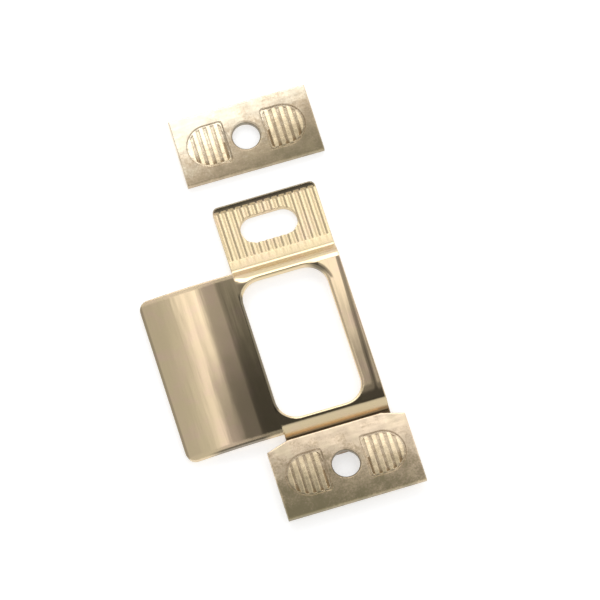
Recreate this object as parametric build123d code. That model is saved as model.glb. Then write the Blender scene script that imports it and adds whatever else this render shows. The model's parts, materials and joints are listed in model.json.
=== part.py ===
from build123d import *
from math import atan2, ceil, cos, floor, sin, sqrt, tan
import os

# Adjustable door strike plate with its two clamp plates, in millimetres, lying on its back.
# +Z points out of the face, +Y runs along the strike towards its bare ear, +X points away from the lip.
# Everything is drawn round the centre of the latch window, with the backs of the ears at Z = 0,
# and moved at the end so that the origin is the bottom centre of the whole set.

# Strike sheet
sheet_t = 1.4           # thickness of the formed sheet
bend_r = 0.35           # inner radius of the bend at the top of a joggle
foot_r = 0.8            # and of the bend at its foot

# Latch window
window_w = 17.5         # along X
window_h = 30.0         # along Y
window_r = 4.2          # corner radius
rim_r = 0.55            # rounding of the window's face edge
rail = 0.9              # from the window's end to the start of the joggle, on the back
bar_w = 3.75            # bar between the window and the edge away from the lip

# Lip
lip_reach = 19.95       # from the window to the tip
lip_h = 34.925          # width of the lip along Y
lip_fold = 9.1          # from the window to the middle of the lip's bend
lip_flat = 4.5          # flat stretch between the window and the bend
lip_corner_r = 2.0      # corners at the tip

# Ears and joggles
ear_step = 0.22         # the ears stand this far past the window on the lip's side
joggle_run = 1.75       # length of each step down to an ear
ear_corner_r = 1.2      # outer corners of the ears
ear_border = 1.1        # plain border beyond the grooves, at the ear's end
slot_l = 11.7           # adjustment slot, end to end along X
slot_w = 5.8
slot_shift = 0.35       # the slot's centre lies this far past the seated plate's hole, along X
bare_slot_in = 1.25     # and in the bare ear this far nearer the window

# Clamp plates
plate_w = 28.575        # along X
plate_h = 15.875        # along Y, the seated plate
loose_h = 14.45         # and the loose one, whose far edge has no cuts
plate_t = 1.4
plate_x = 0.8           # hole of the seated plate, from the middle of the window
plate_gap = 0.7         # from the foot of the joggle to the plate's edge
plate_edge_r = 0.25     # rounding of the plate's face edge
cut_l = 4.6             # slanted cuts at the seated plate's two corners on the +Y side: length along X
cut_h = 1.35            # and depth along Y
hole_r = 2.8            # screw hole
hole_bevel = 0.35       # bevel at the hole's mouth

# Locking teeth: grooves in the ears, and pressed ribs in the clamp plates that drop into them
tooth_pitch = 1.52
groove_r = 0.55         # radius of a groove's round floor
groove_d = 0.3          # depth
groove_start = 2.1      # from the foot of the joggle to the grooves
rib_r = 0.45            # radius of a rib's round back
rib_d = 0.25            # height of a rib below the plate's back
rib_clear = 0.1         # from the end of a rib to the end of its groove
pad_inner = 4.0         # straight side of the D-shaped pressed pad, from the hole's centre
pad_outer = 12.25       # top of its round side
pad_half = 4.45         # half its width along Y
pad_depth = 0.2         # how deep the pad lies below the face
pad_margin = 0.4        # from the pad's edge to its ribs
pad_corner_r = 0.8

# Where the second clamp plate lies by itself on the table
loose_x = 2.35          # its hole, from the middle of the window
loose_gap = 5.8         # from the strike's bare ear to its nearest edge
loose_turn = -0.5       # degrees about Z

# Places that follow from the sizes
recess = plate_t                                     # a seated plate is flush with the frame
joggle_angle = atan2(recess, joggle_run)
face_y = window_h / 2 + rail                         # where the sheet starts down to an ear
step_y = face_y + joggle_run                         # where it levels out
foot_y = step_y + (foot_r + sheet_t) * tan(joggle_angle / 2)
hole_y = foot_y + plate_gap + plate_h / 2
pad_reach = pad_half - pad_margin                    # half length of the longest ribs
groove_end = hole_y + pad_reach + rib_clear
ear_y = groove_end + ear_border                      # end of an ear
ear_left = -(window_w / 2 + ear_step)
ear_right = window_w / 2 + bar_w
tip_x = -(window_w / 2 + lip_reach)
fold_x = -(window_w / 2 + lip_fold)
loose_y = ear_y + loose_gap + loose_h / 2
through = 4 * (sheet_t + recess)                     # tall enough to cut through everything


def sheet_section(corners):
    """Section of a bent sheet, from the corners of its outline, each with the radius of its bend."""
    section = make_face(Polyline(*[(a, b) for a, b, _ in corners], close=True))
    for a, b, radius in corners:
        if radius > 0:
            section = fillet(section.vertices().sort_by_distance((a, b))[0], radius)
    return section


def ears_and_frame():
    """The strip with a joggle down to an ear at each end."""
    mitre = sheet_t * tan(joggle_angle / 2)
    half = [
        (face_y, recess, bend_r),
        (step_y, 0, foot_r + sheet_t),
        (ear_y, 0, 0),
        (ear_y, sheet_t, 0),
        (step_y + mitre, sheet_t, foot_r),
        (face_y + mitre, recess + sheet_t, bend_r + sheet_t),
    ]
    section = sheet_section(half + [(-y, z, radius) for y, z, radius in reversed(half)])
    strip = Pos(ear_left, 0, 0) * extrude(Plane.YZ * section, ear_right - ear_left)
    corners = strip.edges().filter_by(Axis.Z).filter_by(lambda e: abs(e.center().Y) > step_y)
    return fillet(corners, ear_corner_r)


def lip():
    """The sheet beside the frame, flat and then gently bent down until its tip is level with the ears."""
    fall = atan2(recess, fold_x - tip_x)
    fold_r = (lip_fold - lip_flat) / tan(fall / 2)
    mitre = sheet_t * tan(fall / 2)
    section = sheet_section([
        (ear_left, recess, 0),
        (fold_x, recess, fold_r),
        (tip_x, 0, 0),
        (tip_x - sheet_t * sin(fall), sheet_t * cos(fall), 0),
        (fold_x - mitre, recess + sheet_t, fold_r + sheet_t),
        (ear_left, recess + sheet_t, 0),
    ])
    blank = extrude(Plane.XZ * section, lip_h / 2, both=True)
    tip = blank.faces().sort_by(Axis.X)[0]
    return fillet(tip.edges().filter_by(Axis.Y, reverse=True), lip_corner_r)


def round_trough(x, y0, y1, floor_z, radius):
    """A rod along Y whose lowest line lies at floor_z."""
    rod = Cylinder(radius, y1 - y0, rotation=(90, 0, 0))
    return Pos(x, (y0 + y1) / 2, floor_z + radius) * rod


def ear_grooves(side):
    """Grooves across the whole ear, laid out from the clamp plate's hole."""
    half_w = sqrt(groove_r**2 - (groove_r - groove_d) ** 2)
    first = ceil((ear_left - half_w - plate_x) / tooth_pitch)
    last = floor((ear_right + half_w - plate_x) / tooth_pitch)
    ends = sorted([side * (foot_y + groove_start), side * groove_end])
    places = [plate_x + k * tooth_pitch for k in range(first, last + 1)]
    return [round_trough(x, *ends, sheet_t - groove_d, groove_r) for x in places]


def slot(y):
    return Pos(plate_x + slot_shift, y, 0) * extrude(SlotOverall(slot_l, slot_w), through, both=True)


def make_strike():
    """The formed sheet, with its window, slots and grooves."""
    body = ears_and_frame() + lip()
    window = extrude(RectangleRounded(window_w, window_h, window_r), through, both=True)
    body -= window
    face = body.faces().filter_by(Axis.Z).sort_by(Axis.Z)[-1]
    body = fillet(face.inner_wires()[0].edges(), rim_r)
    body -= slot(-hole_y)
    body -= slot(hole_y - bare_slot_in)
    for side in (-1, 1):
        body -= ear_grooves(side)
    return body


def pad_outline(side, inset):
    """D-shaped pad beside the hole, its straight side towards the hole."""
    half = pad_half - inset
    inner = pad_inner + inset
    middle = pad_outer - pad_half
    d_shape = Pos((inner + middle) / 2, 0) * Rectangle(middle - inner, 2 * half)
    d_shape += Pos(middle, 0) * Circle(half)
    corners = d_shape.vertices().sort_by(Axis.X)[:2]
    d_shape = fillet(corners, pad_corner_r)
    return d_shape if side > 0 else mirror(d_shape, Plane.YZ)


def rib_places(side):
    """Places of the ribs along X, on the pitch of the ear's grooves."""
    half_w = sqrt(rib_r**2 - (rib_r - rib_d) ** 2)
    first = ceil((pad_inner + half_w) / tooth_pitch)
    last = floor((pad_outer - half_w) / tooth_pitch)
    return [side * k * tooth_pitch for k in range(first, last + 1)]


def seated_half():
    """Right half of the seated plate's outline, round its hole."""
    x, y = plate_w / 2, plate_h / 2
    return [(x, -y), (x, y - cut_h), (x - cut_l, y)]


def loose_half():
    return [(plate_w / 2, -loose_h / 2), (plate_w / 2, loose_h / 2)]


def make_plate(half):
    """A clamp plate from half its outline, with its hole at X = Y = 0 and its back at Z = 0."""
    outline = make_face(Polyline(*half, *[(-a, b) for a, b in reversed(half)], close=True))
    plate = extrude(outline, plate_t)
    plate = fillet(plate.faces().sort_by(Axis.Z)[-1].edges(), plate_edge_r)
    plate -= extrude(Circle(hole_r), through, both=True)
    mouth = plate.edges().filter_by(GeomType.CIRCLE).sort_by(Axis.Z)[-1]
    plate = chamfer(mouth, hole_bevel)
    for side in (-1, 1):
        plate -= Pos(0, 0, plate_t - pad_depth) * extrude(pad_outline(side, 0), through)
        core = extrude(pad_outline(side, pad_margin), through, both=True)
        for x in rib_places(side):
            rib = round_trough(x, -pad_half, pad_half, -rib_d, rib_r)
            plate += rib & core & Pos(0, 0, -through / 2) * Box(plate_w, plate_h, through)
            plate -= round_trough(x, -pad_half, pad_half, plate_t - pad_depth - rib_d, rib_r) & core
    return plate


def place_all():
    """Every piece in its place, with the origin at the bottom centre of the set."""
    pieces = {
        "strike": make_strike(),
        "clamp_plate_lower": Pos(plate_x, -hole_y, sheet_t) * make_plate(seated_half()),
        "clamp_plate_upper": Pos(loose_x, loose_y, rib_d) * Rot(0, 0, loose_turn) * make_plate(loose_half()),
    }
    box = Compound(list(pieces.values())).bounding_box()
    home = Pos(-box.center().X, -box.center().Y, -box.min.Z)
    return {name: home * piece for name, piece in pieces.items()}


os.makedirs("parts", exist_ok=True)
for name, piece in place_all().items():
    export_step(piece, f"parts/{name}.step")
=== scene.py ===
import json
from math import cos, pi, radians, sin, sqrt
from types import SimpleNamespace

import bpy
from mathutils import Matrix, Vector


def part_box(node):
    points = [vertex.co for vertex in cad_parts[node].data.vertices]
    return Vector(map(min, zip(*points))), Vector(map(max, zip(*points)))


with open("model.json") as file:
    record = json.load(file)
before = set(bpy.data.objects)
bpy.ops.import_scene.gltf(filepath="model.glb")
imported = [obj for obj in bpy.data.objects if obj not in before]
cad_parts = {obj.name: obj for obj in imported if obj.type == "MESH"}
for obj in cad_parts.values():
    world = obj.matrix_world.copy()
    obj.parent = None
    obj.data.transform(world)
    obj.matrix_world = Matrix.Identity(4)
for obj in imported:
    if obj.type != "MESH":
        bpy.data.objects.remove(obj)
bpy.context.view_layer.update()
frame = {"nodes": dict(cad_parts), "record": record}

# Camera, in metres: a long lens, looking down on the strike from below its seated plate
VIEW_DISTANCE = 1.5
VIEW_ELEVATION = radians(70.5)
VIEW_TURN = radians(-17.2)        # turn of the camera about Z, from looking along +Y
VIEW_WIDTH = 0.1195               # width of the view at the object
SENSOR = 36.0                     # width of the camera's sensor, in millimetres
AIM_FROM_WINDOW = Vector((0.00219, 0.00821, 0.0007))

# Directions of the view along the floor, and straight up
RIGHT = Vector((cos(VIEW_TURN), sin(VIEW_TURN), 0))
AHEAD = Vector((-sin(VIEW_TURN), cos(VIEW_TURN), 0))
UP = Vector((0, 0, 1))

# Floor and studio, in metres
FLOOR_SIZE = 3.0
FLOOR_COLOUR = (0.74, 0.74, 0.74, 1)
FLOOR_ROUGH = 0.9
FLOOR_SPECULAR = 0.1
FLOOR_LIFT = 0.52                 # how much lighter than lit the floor shows
BACKGROUND = 1.0                  # level of the studio that the camera sees beyond the floor
ROOM = 0.80                       # plain level of its light
ROOM_AHEAD = 1.0                  # and of its brighter far wall
LAMP_PLACE = (-0.16, 0.74)        # direction of the soft lamp, along RIGHT and AHEAD
LAMP_DISTANCE = 0.6
LAMP_SIZE = 0.36
LAMP_LEVEL = 1.3                  # brightness of its face

# Cards hung overhead, side by side. Their places are shares of a direction's length.
HUNG_AHEAD = (-0.50, 0.12, 0.42, 0.54)   # where they set in and fade out again, along AHEAD
HUNG_ABOVE = (0.0, 0.2)           # and where they set in above the horizon
HUNG_ENDS = (0.284, 0.384)        # where their near ends change to their far ends, along AHEAD
HUNG_SLANT = 0.31                 # that place lies farther ahead towards the right
HUNG = [     # where each card starts along RIGHT, how soft its start is, and its level near and far
    (-0.60, 0.01, 0.56, 0.54),
    (-0.30, 0.03, 0.78, 0.68),
    (-0.25, 0.02, 1.04, 1.25),
    (-0.202, 0.012, 0.42, 0.98),
    (-0.18, 0.016, 0.45, 1.40),
    (-0.138, 0.024, 0.17, 0.45),
    (-0.03, 0.034, 0.06, 0.15),
    (0.13, 0.02, 0.50, 0.60),
    (0.25, 0.03, 0.85, 0.95),
]

# Colours of the metal, and of its painted light and shade
BRASS = (0.80, 0.655, 0.415, 1)
OLIVE = (0.60, 0.53, 0.30, 1)     # tarnished specks
ROSE = (0.82, 0.63, 0.445, 1)     # coppery patches
SHADE_OLIVE = (0.25, 0.22, 0.12, 1)      # painted shade on the plates, mixed with their dark mottling
SHADE_BROWN = (0.27, 0.17, 0.08, 1)     # painted shade in creases and hollows, and darker lines and streaks
EDGE_SHADE = (0.16, 0.14, 0.10, 1)      # painted shade on edges and walls, and the lip's darker tip
HIGHLIGHT_CREAM = (0.95, 0.84, 0.66, 1)      # painted highlight at a plate's lit place

# From here on, places and lengths are in millimetres: those of the strike from the middle of its window,
# and those of a plate from its own middle. A lean is the share by which the surface's normal tips over.
# A change has the place where it begins and the one where it is full, and a band has two more, where it
# starts to fade and where it has gone.
MM = 0.001                        # in metres
EDGE_SAMPLES = 6                  # how finely a rounded edge is shaded
LEAN_FACING = (0.5, 0.85)         # how far a surface faces up or down before it leans at all, and fully
SMOOTH_ANGLE = radians(32)        # edges sharper than this stay sharp
SMOOTH_WEIGHT = 100               # how much the large faces lead in the smoothing

# Grain of the strike, with the waves for each millimetre. The offsets keep the noises apart.
STRIKE_BRUSHED = dict(scale=5.0, stretch=(1, 0.03, 0.2), detail=3.0)
STRIKE_ROLLED = dict(scale=0.9, stretch=(1, 0.08, 0.2), offset=7)
STRIKE_WAVES = dict(scale=0.12, offset=3)
STRIKE_CLOUD = dict(scale=0.22, detail=4.0, roughness=0.6, offset=11)
STRIKE_SPECKS = dict(scale=1.6, detail=5.0, roughness=0.7, offset=23)
BRUSHED_LEAN = 0.008
ROLLED_LEAN = 0.012
WAVES_LEAN = 0.010

# How rough the strike is
STRIKE_ROUGH = 0.07
STRIKE_EDGE = 0.35                # rounding of its sharp edges
BRUSHED_ROUGH = 0.02
CLOUD_ROUGH = 0.015
EAR_ROUGH = 0.17                  # more on the coined ears
SLOPE = (16.3, 16.8, 17.7, 18.2)  # and on the slopes down to them, along Y both ways
SLOPE_ROUGH = 0.18

# The frame and lip are bowed along Y, and the lip bends and twists
BOW = 0.0018                      # lean for each millimetre
BOW_END = 17.0                    # no more beyond this
BAR_BOW = (7.0, 8.0)              # and on the bar, along X,
BAR_BOW_END = 6.0                 # no more beyond this towards -Y
LIP_EASE = (-11.5, -14.5)         # the lip starts down earlier than its bend
LIP_EASE_LEAN = -0.02
LIP_TIP = (-22.0, -28.0)          # and goes on bending to its tip
LIP_TIP_LEAN = -0.03
LIP_TWIST = 0.0006                # lean along X for each millimetre along Y

# The bar beside the window leans towards it on both sides of a crease
BAR_START = 8.0
BAR_LEAN = 0.085
BAR_ENDS = (-15.0, -12.4, 15.2, 16.4)    # along Y
BAR_CREASE = (11.0, 11.6, 11.7, 12.15)   # along X
BAR_CREASE_DEPTH = 0.75           # share of the lean that the crease takes away
BAR_SKEW = 0.03                   # the crease runs nearer the window towards -Y
WINDOW_CORNER = (4.55, 10.8)      # middle of the window's round corner by the bar and the bare ear
CORNER_RADIUS = (4.6, 5.6)        # the bar leans outside this distance from it
CORNER_ALONG = (10.5, 12.5)       # and wherever it is short of this along Y

# Ears: both lean outwards as far as their rim, and their grooves run out before the slope. The slope down
# to the bare one has a soft shoulder.
EAR_DISH = (18.0, 18.9)           # along Y both ways, as the rest unless it says otherwise
EAR_DISH_LEAN = 0.06
EAR_OUTER = (18.9, 20.6)          # a little more from here on
EAR_OUTER_LEAN = 0.07
EAR_RIM = (30.7, 31.2)            # and inwards at the end
EAR_RIM_LEAN = -0.03
EAR_BACK = -1.2                   # a height between the grooves' floors and the ears' backs
EAR_SOFT = 0.25                   # how far the grooves are worn flat
TOOTH_PITCH = 1.52                # from groove to groove, along X
TOOTH_PLACE = 0.8                 # middle of a groove, along X
RUN_OUT = (18.4, 20.55)
RUN_OUT_LEAN = 0.12
SHOULDER = (14.6, 15.9, 16.2, 16.9)
SHOULDER_LEAN = 0.34
SHOULDER_SIDE = (-9.6, -6.4)      # its start along X

# Coppery and tarnished places of the strike
ROSE_CLOUD = (-0.1, 0.5)          # coppery patches, by their noise
ROSE_LIP = (-24.5, -20.5, -14.0, -11.0)  # along the lip's bend
ROSE_BAR = (8.0, 9.5)             # and on the bar
ROSE_BAR_HALF = (15.0, 16.5)
ROSE_SHARE = 0.45
OLIVE_SPECKS = (0.15, 0.6)        # tarnished specks, by their noise
OLIVE_SHARE = 0.35

# Painted shade and darker marks on the strike
SEAM = (-17.35, -18.0)            # painted shadow in the gap at the foot of the slope, by the seated plate
SEAM_SHADE = 0.9
EAR_GROOVE = (-0.75, -1.0)        # darker in the ears' grooves, by height
GROOVE_DARK = 0.10
STREAK_DARK = 0.22                # darker streaks where the grooves run out

# Painted shade on edges of the strike
EDGE_SHADE_SHARE = 0.85
SHADED_RIM = (-9.55, -9.25, -8.6, -8.5)    # painted shade on the window's rim beside the lip, along X
SHADED_RIM_HALF = (12.0, 13.5)
SHADED_CORNER = (3.4, 3.8, 4.6, 5.3)       # painted shade round the window's corner, by radius
SHADED_CORNER_X = (5.0, 7.5)
SHADED_CORNER_Y = (11.6, 13.6)
SHADED_WALL = (-25.0, -21.5, -13.5, -11.0)     # painted shade on the lip's edge on its -Y side
SHADED_WALL_Y = (-17.0, -17.25)
DARK_TIP = (-28.2, -28.5)         # and darker at its tip
DARK_TIP_SHARE = 0.5
SHADED_EAR_END = (31.3, 31.8)           # painted shade at the end of the bare ear
SHADED_EAR_END_SHARE = 0.7

# Grain of the clamp plates
PLATE_ROLLED = dict(scale=2.2, stretch=(0.15, 1, 0.3), detail=3.0)
PLATE_CLOUD = dict(scale=0.30, detail=4.0, roughness=0.6, offset=5)
PLATE_GRAIN = dict(scale=2.4, detail=4.0, roughness=0.65, offset=17)
PLATE_DENTS = dict(scale=0.55, offset=31)
PLATE_ROLLED_LEAN = 0.05
GRAIN_LEAN = 0.06
DENTS_LEAN = 0.05
PLATE_ROUGH = 0.33
PLATE_EDGE = 0.26                 # rounding of their sharp edges
GRAIN_ROUGH = 0.06
SHADE_ROUGH = 0.05

# Places of painted light and painted shade on each plate's face, how pale the painted highlight at the lit
# one is, and how mottled the plate is
PLATES = {
    "clamp_plate_lower": dict(lit_place=(0, 5, 0), shaded_place=(-3, -8, 0), pale=0.35, mottled=1.0),
    "clamp_plate_upper": dict(lit_place=(0, 6, 0), shaded_place=(5, -12, 0), pale=1.0, mottled=0.5),
}

# Painted shade of the plates, with their mottling, from 0 at the lit place to 1 at the shaded one
SHADE_RANGE = (-0.2, 1.15)
SHADE_SHARE = 0.88
FINE_MOTTLING = 0.8               # how much of the mottling there is in the grain
HIGHLIGHT_END = 0.55                   # painted shade at which the painted highlight has gone
PLATE_WARP = 0.10                 # a plate leans back at its lit place and forward at its shaded one
PLATE_WARP_ENDS = (-0.3, 1.3)
PLATE_ROSE_CLOUD = (-0.6, 0.1)    # coppery patches, by their noise
HOLE_WALL = (2.98, 2.84)          # painted shade on the wall of the screw hole, by radius
HOLE_SHARE = 0.75

# Outline of a pressed pad: a D with its straight side towards the hole
PAD_INNER = 4.0                   # the straight side
PAD_MIDDLE = 7.8                  # centre of the round side
PAD_HALF = 4.45                   # its radius
PAD_CORNER = 0.8                  # radius of the two corners
PAD_SIDE_X = (3.2, 4.9)           # the straight side and its corners are drawn in this stretch,
PAD_SIDE_HALF = 4.75              # as far as this along Y both ways
PAD_SIDE_DEPTH = 0.12             # and as far as this into the pad

# Parts of a pad, by how far a place lies inside its outline
PAD_WALL = (-0.26, -0.02, 0.02, 0.26)    # rounded wall
PAD_WALL_LEAN = 0.8
PAD_LINE = (-0.25, -0.08, 0.05, 0.18)    # darker along the wall
PAD_LINE_DARK = 0.35
PAD_FIELD = (0.30, 0.55)          # where the ribs begin
PAD_SHADE = (0.5, 1.7)            # towards -Y the painted shadow in the hollows between the ribs reaches as far in as this

# Floors and ribs of the pads
PAD_LOWEST = 0.3                  # a height below the floors of the hollows
PAD_GROOVE = (0.42, 0.54)         # heights between a hollow and the crest of a rib
# Painted shade in the hollows between the ribs
HOLLOW_SHADE = 0.25
HOLLOW_END_SHADE = 0.6             # more painted shadow at their -Y ends
CREST_SHARE = 0.5                 # how far the ribs are rubbed bright
PAD_SOFT = 0.6                    # how far the hollows are worn flat
PAD_SMOOTH = 0.08                 # the pads are smoother than the face
PAD_LEAN = 0.02                   # and lean away, into the light
RIB_LEAN = 0.045                  # their ribs more


def mount_place(name):
    return next(Vector(mount["pos_m"]) for mount in frame["record"]["mounts"] if mount["name"] == name)


def middle(name):
    low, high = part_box(name)
    return (Vector(low) + Vector(high)) / 2


def node(tree, kind, inputs=None, **settings):
    """Adds a node, with its inputs set to values or linked from sockets."""
    made = tree.nodes.new(kind)
    for name, value in settings.items():
        setattr(made, name, value)
    for name, value in (inputs or {}).items():
        if isinstance(value, bpy.types.NodeSocket):
            tree.links.new(value, made.inputs[name])
        else:
            made.inputs[name].default_value = value
    return made


def maths(tree, operation, a, b=0.0, c=0.0):
    return node(tree, "ShaderNodeMath", {0: a, 1: b, 2: c}, operation=operation).outputs[0]


def total(tree, *values):
    result = values[0]
    for value in values[1:]:
        result = maths(tree, "ADD", result, value)
    return result


def product(tree, *values):
    result = values[0]
    for value in values[1:]:
        result = maths(tree, "MULTIPLY", result, value)
    return result


def weighted(tree, *pairs):
    """Sum of some values, each times its weight."""
    return total(tree, *[product(tree, value, weight) for value, weight in pairs])


def vector(tree, x, y):
    return node(tree, "ShaderNodeCombineXYZ", {0: x, 1: y}).outputs[0]


def split(tree, joined):
    """X, Y and Z of a vector."""
    return tuple(node(tree, "ShaderNodeSeparateXYZ", {0: joined}).outputs)


def vector_maths(tree, operation, a, b=(0, 0, 0)):
    made = node(tree, "ShaderNodeVectorMath", {0: a, 1: b}, operation=operation)
    return made.outputs["Value" if operation in ("DOT_PRODUCT", "LENGTH") else "Vector"]


def length(tree, x, y):
    """Length of the vector from X and Y."""
    return vector_maths(tree, "LENGTH", vector(tree, x, y))


def ease(tree, value, start, end, low=0.0, high=1.0):
    """Goes smoothly from low to high as the value goes from start to end."""
    if start > end:
        start, end, low, high = end, start, high, low
    inputs = {"Value": value, "From Min": start, "From Max": end, "To Min": low, "To Max": high}
    return node(tree, "ShaderNodeMapRange", inputs, interpolation_type="SMOOTHSTEP").outputs[0]


def fade(tree, value, start, end):
    """Falls smoothly from one to zero as the value goes from start to end."""
    return ease(tree, value, start, end, 1, 0)


def band(tree, value, stops):
    """Rises from zero to one between the first two stops and falls back between the last two."""
    return product(tree, ease(tree, value, *stops[:2]), fade(tree, value, *stops[2:]))


def blend(tree, factor, a, b, kind="RGBA"):
    """Goes from a to b, which are colours, numbers or vectors, as the factor goes from zero to one."""
    made = node(tree, "ShaderNodeMix", data_type=kind)
    sockets = [s for s in made.inputs if s.enabled]
    for socket, value in zip(sockets, (factor, a, b)):
        if isinstance(value, bpy.types.NodeSocket):
            tree.links.new(value, socket)
        else:
            socket.default_value = value
    return next(s for s in made.outputs if s.enabled)


def new_material(name):
    """A material, its node tree and its shader."""
    material = bpy.data.materials.new(name)
    material.use_nodes = True
    return material, material.node_tree, material.node_tree.nodes["Principled BSDF"]


def add_camera():
    aim = mount_place("latch_window") + AIM_FROM_WINDOW
    looking = AHEAD * cos(VIEW_ELEVATION) - UP * sin(VIEW_ELEVATION)
    data = bpy.data.cameras.new("camera")
    data.sensor_width = SENSOR
    data.lens = SENSOR * VIEW_DISTANCE / VIEW_WIDTH
    camera = bpy.data.objects.new("camera", data)
    camera.location = aim - looking * VIEW_DISTANCE
    camera.rotation_euler = looking.to_track_quat("-Z", "Y").to_euler()
    bpy.context.collection.objects.link(camera)
    bpy.context.scene.camera = camera


def any_seen_ray(tree):
    """One for the rays that see the floor as it is: straight, mirrored or through glass."""
    path = node(tree, "ShaderNodeLightPath").outputs
    seen = maths(tree, "MAXIMUM", path["Is Camera Ray"], path["Is Glossy Ray"])
    return maths(tree, "MAXIMUM", seen, path["Is Transmission Ray"])


def floor_material():
    material, tree, shader = new_material("floor")
    shader.inputs["Base Color"].default_value = FLOOR_COLOUR
    shader.inputs["Roughness"].default_value = FLOOR_ROUGH
    shader.inputs["Specular IOR Level"].default_value = FLOOR_SPECULAR
    strength = maths(tree, "MULTIPLY", any_seen_ray(tree), FLOOR_LIFT)
    lift = node(tree, "ShaderNodeEmission", {"Strength": strength})
    both = node(tree, "ShaderNodeAddShader", {0: shader.outputs[0], 1: lift.outputs[0]})
    tree.links.new(both.outputs[0], tree.nodes["Material Output"].inputs["Surface"])
    return material


def add_floor():
    bpy.ops.mesh.primitive_plane_add(size=FLOOR_SIZE, location=(0, 0, 0))
    floor = bpy.context.object
    floor.name = "floor"
    floor.data.materials.append(floor_material())


def add_lamp():
    """A square soft lamp beyond the set, to the left."""
    data = bpy.data.lights.new("softbox", "AREA")
    data.shape = "SQUARE"
    data.size = LAMP_SIZE
    data.energy = LAMP_LEVEL * pi * LAMP_SIZE**2
    lamp = bpy.data.objects.new("softbox", data)
    across, ahead = LAMP_PLACE
    toward = RIGHT * across + AHEAD * ahead + UP * sqrt(1 - across**2 - ahead**2)
    lamp.location = toward * LAMP_DISTANCE
    lamp.rotation_euler = (-toward).to_track_quat("-Z", "Y").to_euler()
    bpy.context.collection.objects.link(lamp)


def hung_level(tree, across, ahead):
    """Level of the cards hung overhead, from left to right, each with its own at its near and far ends."""
    far = ease(tree, maths(tree, "MULTIPLY_ADD", across, -HUNG_SLANT, ahead), *HUNG_ENDS)
    level = None
    for start, soft, near_level, far_level in HUNG:
        card = maths(tree, "MULTIPLY_ADD", far, far_level - near_level, near_level)
        side = ease(tree, across, start - soft, start + soft)
        level = card if level is None else blend(tree, side, level, card, kind="FLOAT")
    return level


def set_world():
    """A pale room with a brighter far wall, and long cards hung overhead that the flat metal reflects."""
    world = bpy.data.worlds.new("studio")
    world.use_nodes = True
    tree = world.node_tree
    toward = node(tree, "ShaderNodeTexCoord").outputs["Generated"]
    across = vector_maths(tree, "DOT_PRODUCT", toward, RIGHT)
    ahead = vector_maths(tree, "DOT_PRODUCT", toward, AHEAD)
    above = vector_maths(tree, "DOT_PRODUCT", toward, UP)
    overhead = product(tree, band(tree, ahead, HUNG_AHEAD), ease(tree, above, *HUNG_ABOVE))
    room = ease(tree, ahead, *HUNG_AHEAD[2:], ROOM, ROOM_AHEAD)
    level = blend(tree, overhead, room, hung_level(tree, across, ahead), kind="FLOAT")
    seen = node(tree, "ShaderNodeLightPath").outputs["Is Camera Ray"]
    level = blend(tree, seen, level, BACKGROUND, kind="FLOAT")
    tree.links.new(level, tree.nodes["Background"].inputs["Color"])
    bpy.context.scene.world = world


def place_in_mm(tree, centre):
    """Position from the given centre, in millimetres, and its X, Y and Z."""
    place = vector_maths(tree, "SUBTRACT", node(tree, "ShaderNodeTexCoord").outputs["Object"], centre)
    place = vector_maths(tree, "DIVIDE", place, (MM, MM, MM))
    return place, *split(tree, place)


def noise(tree, place, scale, stretch=(1, 1, 1), detail=2.0, roughness=0.5, offset=0.0):
    """Noise from -1 to 1 about zero, with the scale in waves for each millimetre."""
    stretched = vector_maths(tree, "MULTIPLY", place, stretch)
    stretched = vector_maths(tree, "ADD", stretched, (offset, offset, offset))
    inputs = {"Vector": stretched, "Scale": scale, "Detail": detail, "Roughness": roughness}
    return maths(tree, "MULTIPLY_ADD", node(tree, "ShaderNodeTexNoise", inputs).outputs["Fac"], 2, -1)


def leaning_normal(tree, edge, lean_x, lean_y, flat):
    """The normal with sharp edges rounded and some of it flattened, leaned where it faces up or down."""
    rounded = node(tree, "ShaderNodeBevel", {"Radius": edge * MM}, samples=EDGE_SAMPLES).outputs[0]
    rounded = blend(tree, flat, rounded, UP, kind="VECTOR")
    facing = split(tree, rounded)[2]
    level = ease(tree, maths(tree, "ABSOLUTE", facing), *LEAN_FACING)
    lean = vector(tree, product(tree, lean_x, level), product(tree, lean_y, level))
    return vector_maths(tree, "NORMALIZE", vector_maths(tree, "ADD", rounded, lean))


def link_metal(tree, shader, colour, rough, normal):
    tree.links.new(colour, shader.inputs["Base Color"])
    tree.links.new(rough, shader.inputs["Roughness"])
    tree.links.new(normal, shader.inputs["Normal"])
    shader.inputs["Metallic"].default_value = 1


def corner_radius(tree, x, y):
    """Distance from the middle of the window's round corner, or from the line down from it."""
    across = maths(tree, "SUBTRACT", x, WINDOW_CORNER[0])
    along = maths(tree, "MAXIMUM", maths(tree, "SUBTRACT", y, WINDOW_CORNER[1]), 0)
    return length(tree, across, along)


def groove_phase(tree, x):
    """Angle that goes round once for each groove, from zero at its middle."""
    return maths(tree, "MULTIPLY_ADD", x, 2 * pi / TOOTH_PITCH, -2 * pi * TOOTH_PLACE / TOOTH_PITCH)


def run_out(tree, far):
    """Share of the grooves that is left where they run out before the slope."""
    return product(tree, ease(tree, far, *RUN_OUT), maths(tree, "LESS_THAN", far, RUN_OUT[1]))


def lip_lean(tree, x, y):
    """Lean of the lip's bend and twist."""
    twist = product(tree, ease(tree, x, *LIP_EASE), y, LIP_TWIST)
    return total(tree, ease(tree, x, *LIP_EASE, 0, LIP_EASE_LEAN),
                 ease(tree, x, *LIP_TIP, 0, LIP_TIP_LEAN), twist)


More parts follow.
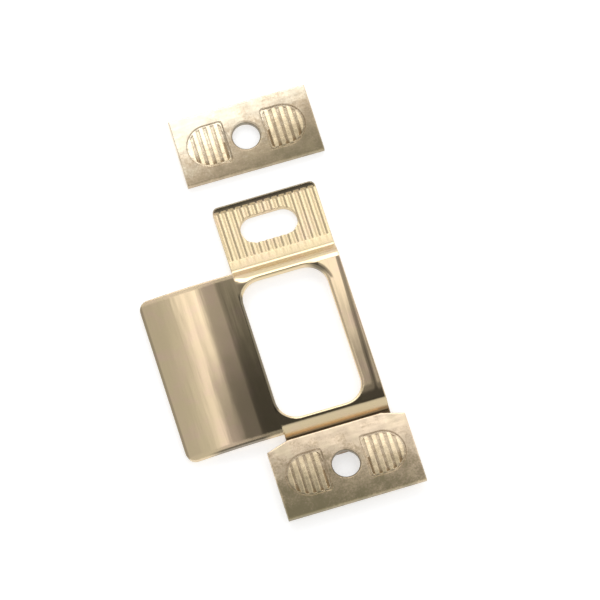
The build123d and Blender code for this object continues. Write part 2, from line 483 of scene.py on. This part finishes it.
def bar_lean(tree, x, y):
    """Lean of the bar, less in its crease and none round the window's corner."""
    crease = band(tree, maths(tree, "MULTIPLY_ADD", y, -BAR_SKEW, x), BAR_CREASE)
    lean = maths(tree, "MULTIPLY_ADD", crease, BAR_CREASE_DEPTH * BAR_LEAN, -BAR_LEAN)
    clear = maths(tree, "MAXIMUM", ease(tree, corner_radius(tree, x, y), *CORNER_RADIUS),
                  fade(tree, y, *CORNER_ALONG))
    return product(tree, lean, maths(tree, "GREATER_THAN", x, BAR_START), band(tree, y, BAR_ENDS), clear)


def groove_lean(tree, x, far):
    """Ripple across the grooves where they run out."""
    return product(tree, run_out(tree, far), maths(tree, "SINE", groove_phase(tree, x)), -RUN_OUT_LEAN)


def frame_bow(tree, x, y):
    """Lean that grows along the frame and lip to both ends, and stops sooner on the bar."""
    lowest = ease(tree, x, *BAR_BOW, -BOW_END, -BAR_BOW_END)
    return product(tree, node(tree, "ShaderNodeClamp", {0: y, 1: lowest, 2: BOW_END}).outputs[0], BOW)


def ear_lean(tree, x, y, far):
    """Lean of the bare ear's shoulder, and of both ears."""
    shoulder = product(tree, band(tree, y, SHOULDER), ease(tree, x, *SHOULDER_SIDE, 0, SHOULDER_LEAN))
    dish = total(tree, ease(tree, far, *EAR_DISH, 0, EAR_DISH_LEAN),
                 ease(tree, far, *EAR_OUTER, 0, EAR_OUTER_LEAN - EAR_DISH_LEAN))
    dish = blend(tree, ease(tree, far, *EAR_RIM), dish, EAR_RIM_LEAN, kind="FLOAT")
    return total(tree, shoulder, product(tree, dish, maths(tree, "SIGN", y)))


def strike_shade(tree, x, y, z, far, coined):
    """Painted shadow in the seam by the seated plate, and darker ears' grooves and streaks where these run
    out.
    """
    streaks = product(tree, run_out(tree, far), maths(tree, "COSINE", groove_phase(tree, x)), STREAK_DARK)
    grooves = product(tree, coined, ease(tree, z, *EAR_GROOVE, 0, GROOVE_DARK))
    darkening = total(tree, ease(tree, y, *SEAM, 0, SEAM_SHADE), grooves, maths(tree, "MAXIMUM", streaks, 0))
    return maths(tree, "MINIMUM", darkening, 1)


def strike_edge_shade(tree, x, y, far):
    """Painted shade on the window's rim and corner, the lip's -Y edge and the bare ear's end, and a darker
    lip tip.
    """
    rim = product(tree, band(tree, x, SHADED_RIM), fade(tree, far, *SHADED_RIM_HALF))
    corner = product(tree, band(tree, corner_radius(tree, x, y), SHADED_CORNER),
                     ease(tree, x, *SHADED_CORNER_X), ease(tree, y, *SHADED_CORNER_Y))
    wall = product(tree, band(tree, x, SHADED_WALL), ease(tree, y, *SHADED_WALL_Y))
    edges = total(tree, rim, corner, wall, ease(tree, x, *DARK_TIP, 0, DARK_TIP_SHARE))
    edges = maths(tree, "MAXIMUM", edges, ease(tree, y, *SHADED_EAR_END, 0, SHADED_EAR_END_SHARE))
    return product(tree, edges, EDGE_SHADE_SHARE)


def strike_brass(tree, x, far, cloud, specks):
    """Brass with coppery patches and tarnished specks."""
    bar = product(tree, ease(tree, x, *ROSE_BAR), fade(tree, far, *ROSE_BAR_HALF))
    bend = band(tree, x, ROSE_LIP)
    coppery = total(tree, ease(tree, cloud, *ROSE_CLOUD), product(tree, bend, ROSE_SHARE),
                    product(tree, bar, ROSE_SHARE))
    colour = blend(tree, maths(tree, "MINIMUM", coppery, 1), BRASS, ROSE)
    return blend(tree, ease(tree, specks, *OLIVE_SPECKS, 0, OLIVE_SHARE), colour, OLIVE)


def strike_metal(centre):
    """Bright brass, brushed and rolled along Y."""
    material, tree, shader = new_material("strike_metal")
    place, x, y, z = place_in_mm(tree, centre)
    brushed = noise(tree, place, **STRIKE_BRUSHED)
    rolled = noise(tree, place, **STRIKE_ROLLED)
    waves = noise(tree, place, **STRIKE_WAVES)
    cloud = noise(tree, place, **STRIKE_CLOUD)
    specks = noise(tree, place, **STRIKE_SPECKS)
    far = maths(tree, "ABSOLUTE", y)
    coined = product(tree, ease(tree, far, *EAR_DISH), fade(tree, far, *EAR_RIM))
    colour = strike_brass(tree, x, far, cloud, specks)
    # Painted shadow in the seam by the seated plate, and darker grooves and streaks on the ears
    colour = blend(tree, strike_shade(tree, x, y, z, far, coined), colour, SHADE_BROWN)
    # Painted shade on the window's rim and corner, the lip's -Y edge and the bare ear's end
    colour = blend(tree, strike_edge_shade(tree, x, y, far), colour, EDGE_SHADE)
    rough = weighted(tree, (brushed, BRUSHED_ROUGH), (cloud, CLOUD_ROUGH), (coined, EAR_ROUGH),
                     (band(tree, far, SLOPE), SLOPE_ROUGH))
    rough = total(tree, rough, STRIKE_ROUGH)
    lean_x = total(tree, lip_lean(tree, x, y), bar_lean(tree, x, y), groove_lean(tree, x, far),
                   weighted(tree, (brushed, BRUSHED_LEAN), (rolled, ROLLED_LEAN)))
    lean_y = total(tree, frame_bow(tree, x, y), ear_lean(tree, x, y, far),
                   product(tree, waves, WAVES_LEAN))
    flat = product(tree, coined, maths(tree, "GREATER_THAN", z, EAR_BACK), EAR_SOFT)
    link_metal(tree, shader, colour, rough, leaning_normal(tree, STRIKE_EDGE, lean_x, lean_y, flat))
    return material


def pad_inside(tree, x, y):
    """How far a place lies inside a pad's outline, and X and Y of the way inwards by its straight side."""
    across = maths(tree, "ABSOLUTE", x)
    beyond = maths(tree, "MAXIMUM", maths(tree, "SUBTRACT", across, PAD_MIDDLE), 0)
    from_round = maths(tree, "SUBTRACT", PAD_HALF, length(tree, beyond, y))
    from_side = maths(tree, "SUBTRACT", across, PAD_INNER)
    a = maths(tree, "SUBTRACT", PAD_CORNER, from_side)
    b = maths(tree, "SUBTRACT", PAD_CORNER, from_round)
    a_out = maths(tree, "MAXIMUM", a, 0)
    b_out = maths(tree, "MAXIMUM", b, 0)
    nearer = maths(tree, "MINIMUM", maths(tree, "MAXIMUM", a, b), 0)
    past = total(tree, length(tree, a_out, b_out), nearer)
    inward = vector(tree, product(tree, a_out, maths(tree, "SIGN", x)),
                    product(tree, b_out, maths(tree, "SIGN", y), -1))
    inward_x, inward_y, _ = split(tree, vector_maths(tree, "NORMALIZE", inward))
    return maths(tree, "SUBTRACT", PAD_CORNER, past), inward_x, inward_y


def pad_side(tree, x, y, inside):
    """One where the pad's straight side and its corners are drawn."""
    across = maths(tree, "ABSOLUTE", x)
    start, end = PAD_SIDE_X
    return product(tree, maths(tree, "GREATER_THAN", across, start), maths(tree, "LESS_THAN", across, end),
                   maths(tree, "LESS_THAN", maths(tree, "ABSOLUTE", y), PAD_SIDE_HALF),
                   maths(tree, "LESS_THAN", inside, PAD_SIDE_DEPTH))


def pad_masks(tree, x, y, z):
    """Shares of a plate's surface that are parts of a pad, and the leans of its drawn wall."""
    top = maths(tree, "GREATER_THAN", z, PAD_LOWEST)
    inside, inward_x, inward_y = pad_inside(tree, x, y)
    side = product(tree, top, pad_side(tree, x, y, inside))
    wall = product(tree, side, band(tree, inside, PAD_WALL), PAD_WALL_LEAN)
    field = product(tree, top, ease(tree, inside, *PAD_FIELD))
    return SimpleNamespace(
        whole=product(tree, top, ease(tree, inside, *PAD_WALL[1:3])),
        side=side,
        line=product(tree, top, band(tree, inside, PAD_LINE)),
        field=field,
        hollow=product(tree, field, fade(tree, z, *PAD_GROOVE)),
        crest=product(tree, field, ease(tree, z, *PAD_GROOVE)),
        shaded=product(tree, fade(tree, inside, *PAD_SHADE), maths(tree, "LESS_THAN", y, 0)),
        wall_lean_x=product(tree, wall, inward_x),
        wall_lean_y=product(tree, wall, inward_y),
    )


def plate_brass(tree, cloud, shade_and_mottling, pale):
    """Brass with coppery patches, a painted highlight at the lit place and painted shade, mixed with
    mottling, towards the shaded one.
    """
    colour = blend(tree, ease(tree, cloud, *PLATE_ROSE_CLOUD), BRASS, ROSE)
    # Painted highlight at the lit place, then painted shade towards the shaded one
    colour = blend(tree, ease(tree, shade_and_mottling, HIGHLIGHT_END, 0, 0, pale), colour, HIGHLIGHT_CREAM)
    return blend(tree, product(tree, shade_and_mottling, SHADE_SHARE), colour, SHADE_OLIVE)


def pad_hollow_shade(tree, pad):
    """Painted shade in the hollows between the ribs, more at their -Y ends, and a darker line along the
    pad's wall.
    """
    hollow_shade = maths(tree, "MULTIPLY_ADD", pad.shaded, HOLLOW_END_SHADE, HOLLOW_SHADE)
    return weighted(tree, (pad.hollow, hollow_shade), (pad.line, PAD_LINE_DARK))


def plate_metal(name, centre, lit_place, shaded_place, pale, mottled):
    """Duller brass, with painted light and shade from one place on its face to another."""
    material, tree, shader = new_material(name)
    place, x, y, z = place_in_mm(tree, centre)
    rolled = noise(tree, place, **PLATE_ROLLED)
    cloud = noise(tree, place, **PLATE_CLOUD)
    grain = noise(tree, place, **PLATE_GRAIN)
    dents = noise(tree, place, **PLATE_DENTS)
    pad = pad_masks(tree, x, y, z)
    way = Vector(shaded_place) - Vector(lit_place)
    from_lit_place = vector_maths(tree, "SUBTRACT", place, lit_place)
    along = vector_maths(tree, "DOT_PRODUCT", from_lit_place, way / way.length_squared)
    mottling = weighted(tree, (cloud, mottled), (grain, FINE_MOTTLING * mottled))
    # Painted light and shade from the lit place to the shaded one, mixed with mottling
    shade_and_mottling = ease(tree, total(tree, along, mottling), *SHADE_RANGE)
    colour = plate_brass(tree, cloud, shade_and_mottling, pale)
    colour = blend(tree, product(tree, pad.crest, CREST_SHARE), colour, BRASS)
    # Painted shade in the hollows between the ribs, and a darker line along the pad's wall
    colour = blend(tree, pad_hollow_shade(tree, pad), colour, SHADE_BROWN)
    # Painted shade on the wall of the screw hole
    colour = blend(tree, ease(tree, length(tree, x, y), *HOLE_WALL, 0, HOLE_SHARE), colour, EDGE_SHADE)
    rough = weighted(tree, (grain, GRAIN_ROUGH), (shade_and_mottling, SHADE_ROUGH), (pad.whole, -PAD_SMOOTH))
    rough = total(tree, rough, PLATE_ROUGH)
    lean_x = total(tree, weighted(tree, (dents, DENTS_LEAN), (grain, GRAIN_LEAN)), pad.wall_lean_x)
    warp = ease(tree, along, *PLATE_WARP_ENDS, PLATE_WARP, -PLATE_WARP)
    lean_y = weighted(tree, (rolled, PLATE_ROLLED_LEAN), (dents, DENTS_LEAN), (pad.whole, PAD_LEAN),
                      (pad.crest, RIB_LEAN))
    lean_y = total(tree, warp, lean_y, pad.wall_lean_y)
    worn = product(tree, pad.field, maths(tree, "SUBTRACT", 1, pad.shaded), PAD_SOFT)
    flat = maths(tree, "MAXIMUM", pad.side, worn)
    link_metal(tree, shader, colour, rough, leaning_normal(tree, PLATE_EDGE, lean_x, lean_y, flat))
    return material


def smooth_shading():
    """A node modifier that shades smooth, apart from edges sharper than a limit."""
    group = bpy.data.node_groups.new("smooth_shading", "GeometryNodeTree")
    group.interface.new_socket("Geometry", in_out="INPUT", socket_type="NodeSocketGeometry")
    group.interface.new_socket("Geometry", in_out="OUTPUT", socket_type="NodeSocketGeometry")
    start = node(group, "NodeGroupInput")
    angle = node(group, "GeometryNodeInputMeshEdgeAngle")
    gentle = node(group, "FunctionNodeCompare", {"A": angle.outputs["Unsigned Angle"], "B": SMOOTH_ANGLE},
                  operation="LESS_THAN")
    faces = node(group, "GeometryNodeSetShadeSmooth", {"Geometry": start.outputs[0], "Shade Smooth": True},
                 domain="FACE")
    edges = node(group, "GeometryNodeSetShadeSmooth",
                 {"Geometry": faces.outputs[0], "Shade Smooth": gentle.outputs[0]}, domain="EDGE")
    node(group, "NodeGroupOutput", {"Geometry": edges.outputs[0]})
    return group


def dress(name, metal, smooth):
    """Gives a node its metal and smooth curved faces."""
    piece = frame["nodes"][name]
    piece.data.materials.clear()
    piece.data.materials.append(metal)
    piece.modifiers.new("smooth", "NODES").node_group = smooth
    by_area = piece.modifiers.new("weighted", "WEIGHTED_NORMAL")
    by_area.keep_sharp = True
    by_area.weight = SMOOTH_WEIGHT


bpy.context.scene.view_settings.view_transform = "Standard"
add_camera()
add_floor()
add_lamp()
set_world()
smooth = smooth_shading()
dress("strike", strike_metal(mount_place("latch_window")), smooth)
for name, looks in PLATES.items():
    dress(name, plate_metal(name + "_metal", middle(name), **looks), smooth)
